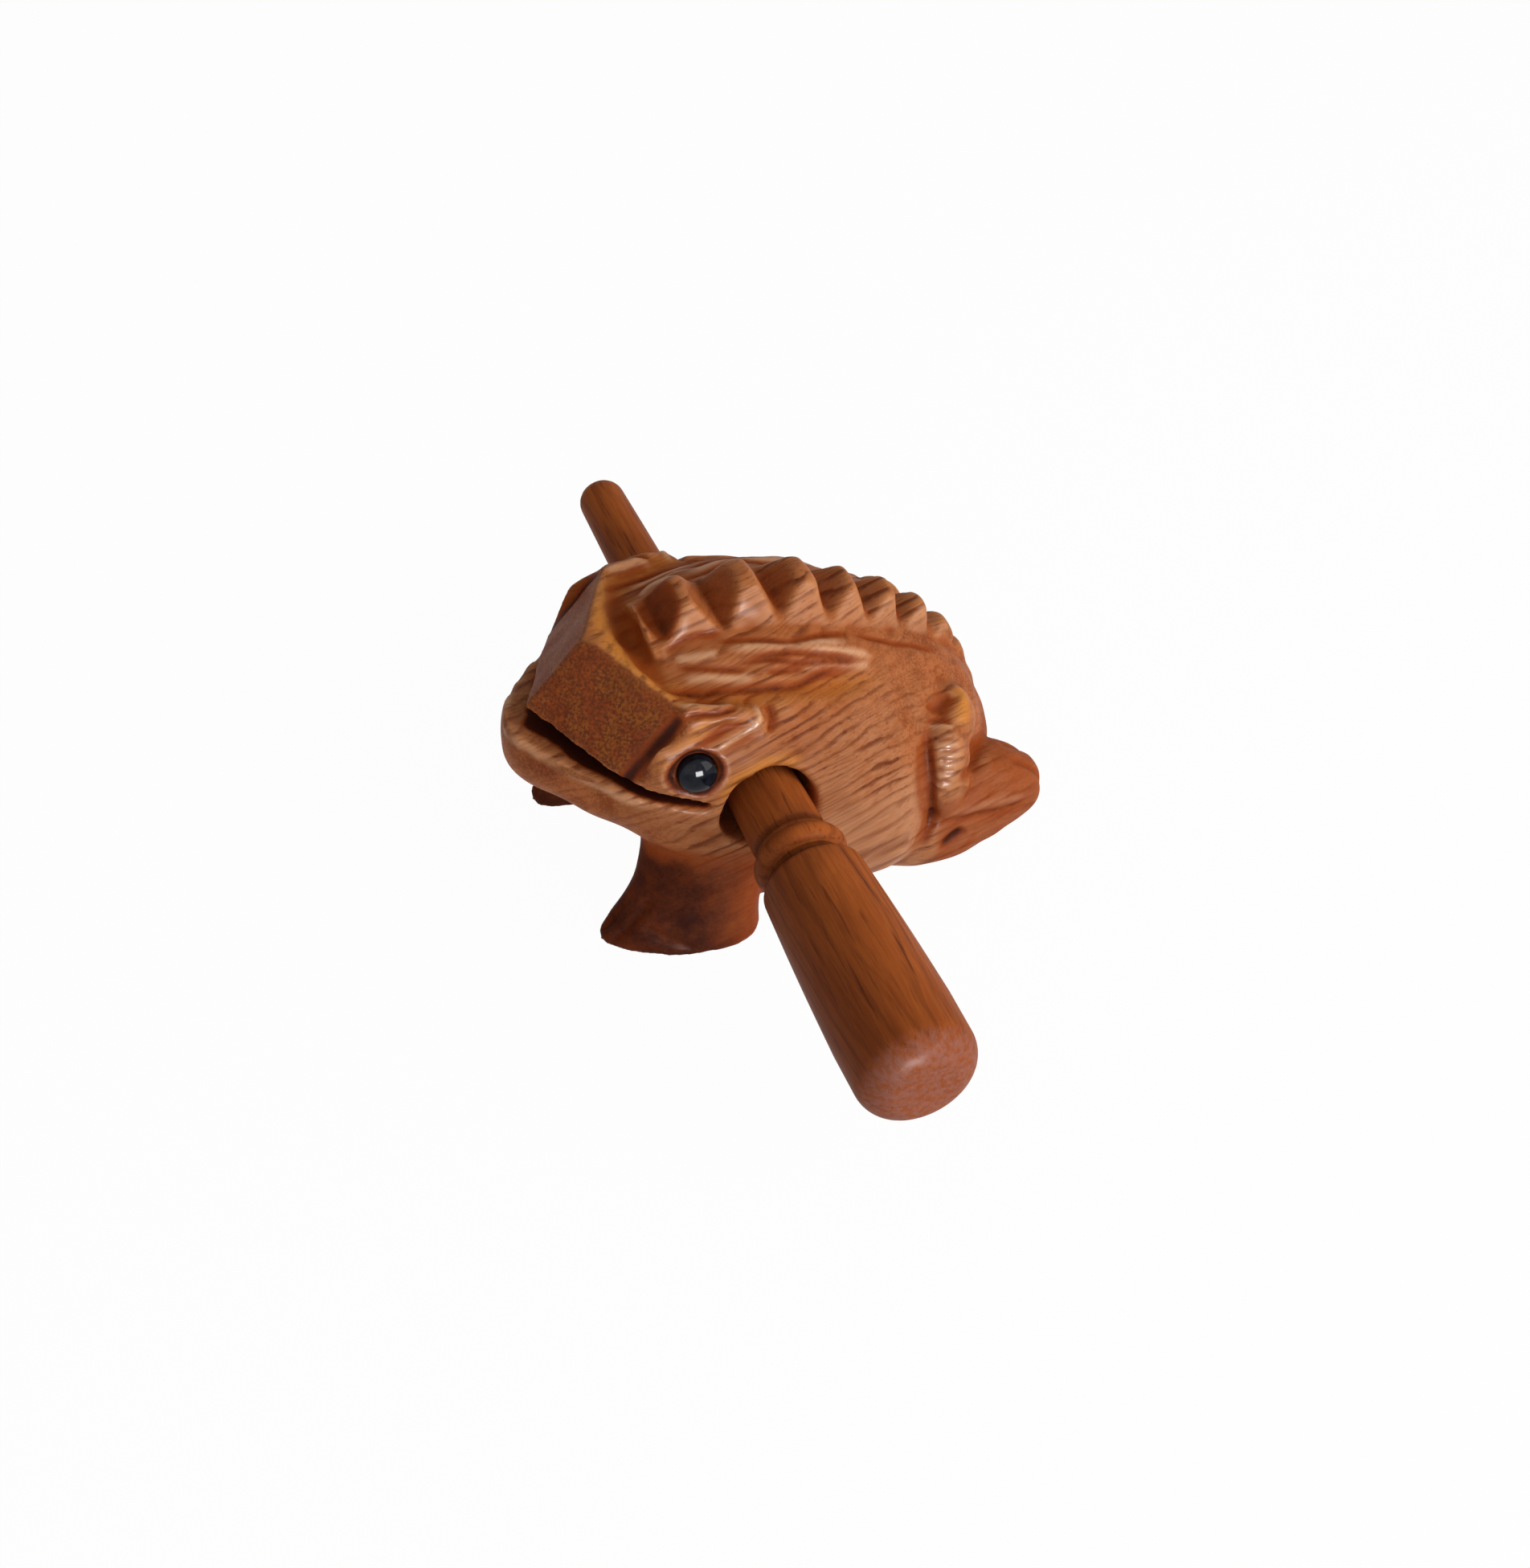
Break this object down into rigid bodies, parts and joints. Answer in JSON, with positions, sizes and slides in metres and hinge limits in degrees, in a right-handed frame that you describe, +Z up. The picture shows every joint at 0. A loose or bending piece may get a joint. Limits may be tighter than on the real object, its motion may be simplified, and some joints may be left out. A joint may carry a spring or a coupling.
{
  "type": "frog guiro",
  "caption": "Carved wooden frog with a notched ridge along its back, an open mouth, bead eyes and a turned striker stored in a bore across the head; scraped and struck as a rasp and wood block.",
  "frame": {"origin": "on the ground, in the flat underside of the belly, under the middle of the frog", "axes": "+X to the frog's left, towards the handle of the stored striker; -Y forward, the way the frog looks; +Z up"},
  "size_m": [0.1571, 0.0995, 0.0633],
  "materials": {
    "carved_wood": "stained and satin lacquered",
    "turned_wood": "turned, stained and satin lacquered",
    "eye_bead": "glossy"
  },
  "bodies": {
    "frog": {"frog_body": "carved_wood", "left_eye": "eye_bead", "right_eye": "eye_bead"},
    "striker": {"striker": "turned_wood"}
  },
  "joints": [
    {"name": "striker_slide", "type": "slide", "parent": "frog", "child": "striker", "axis": [0.9994, 0, -0.0349], "range_m": [-0.005, 0.1]}
  ]
}
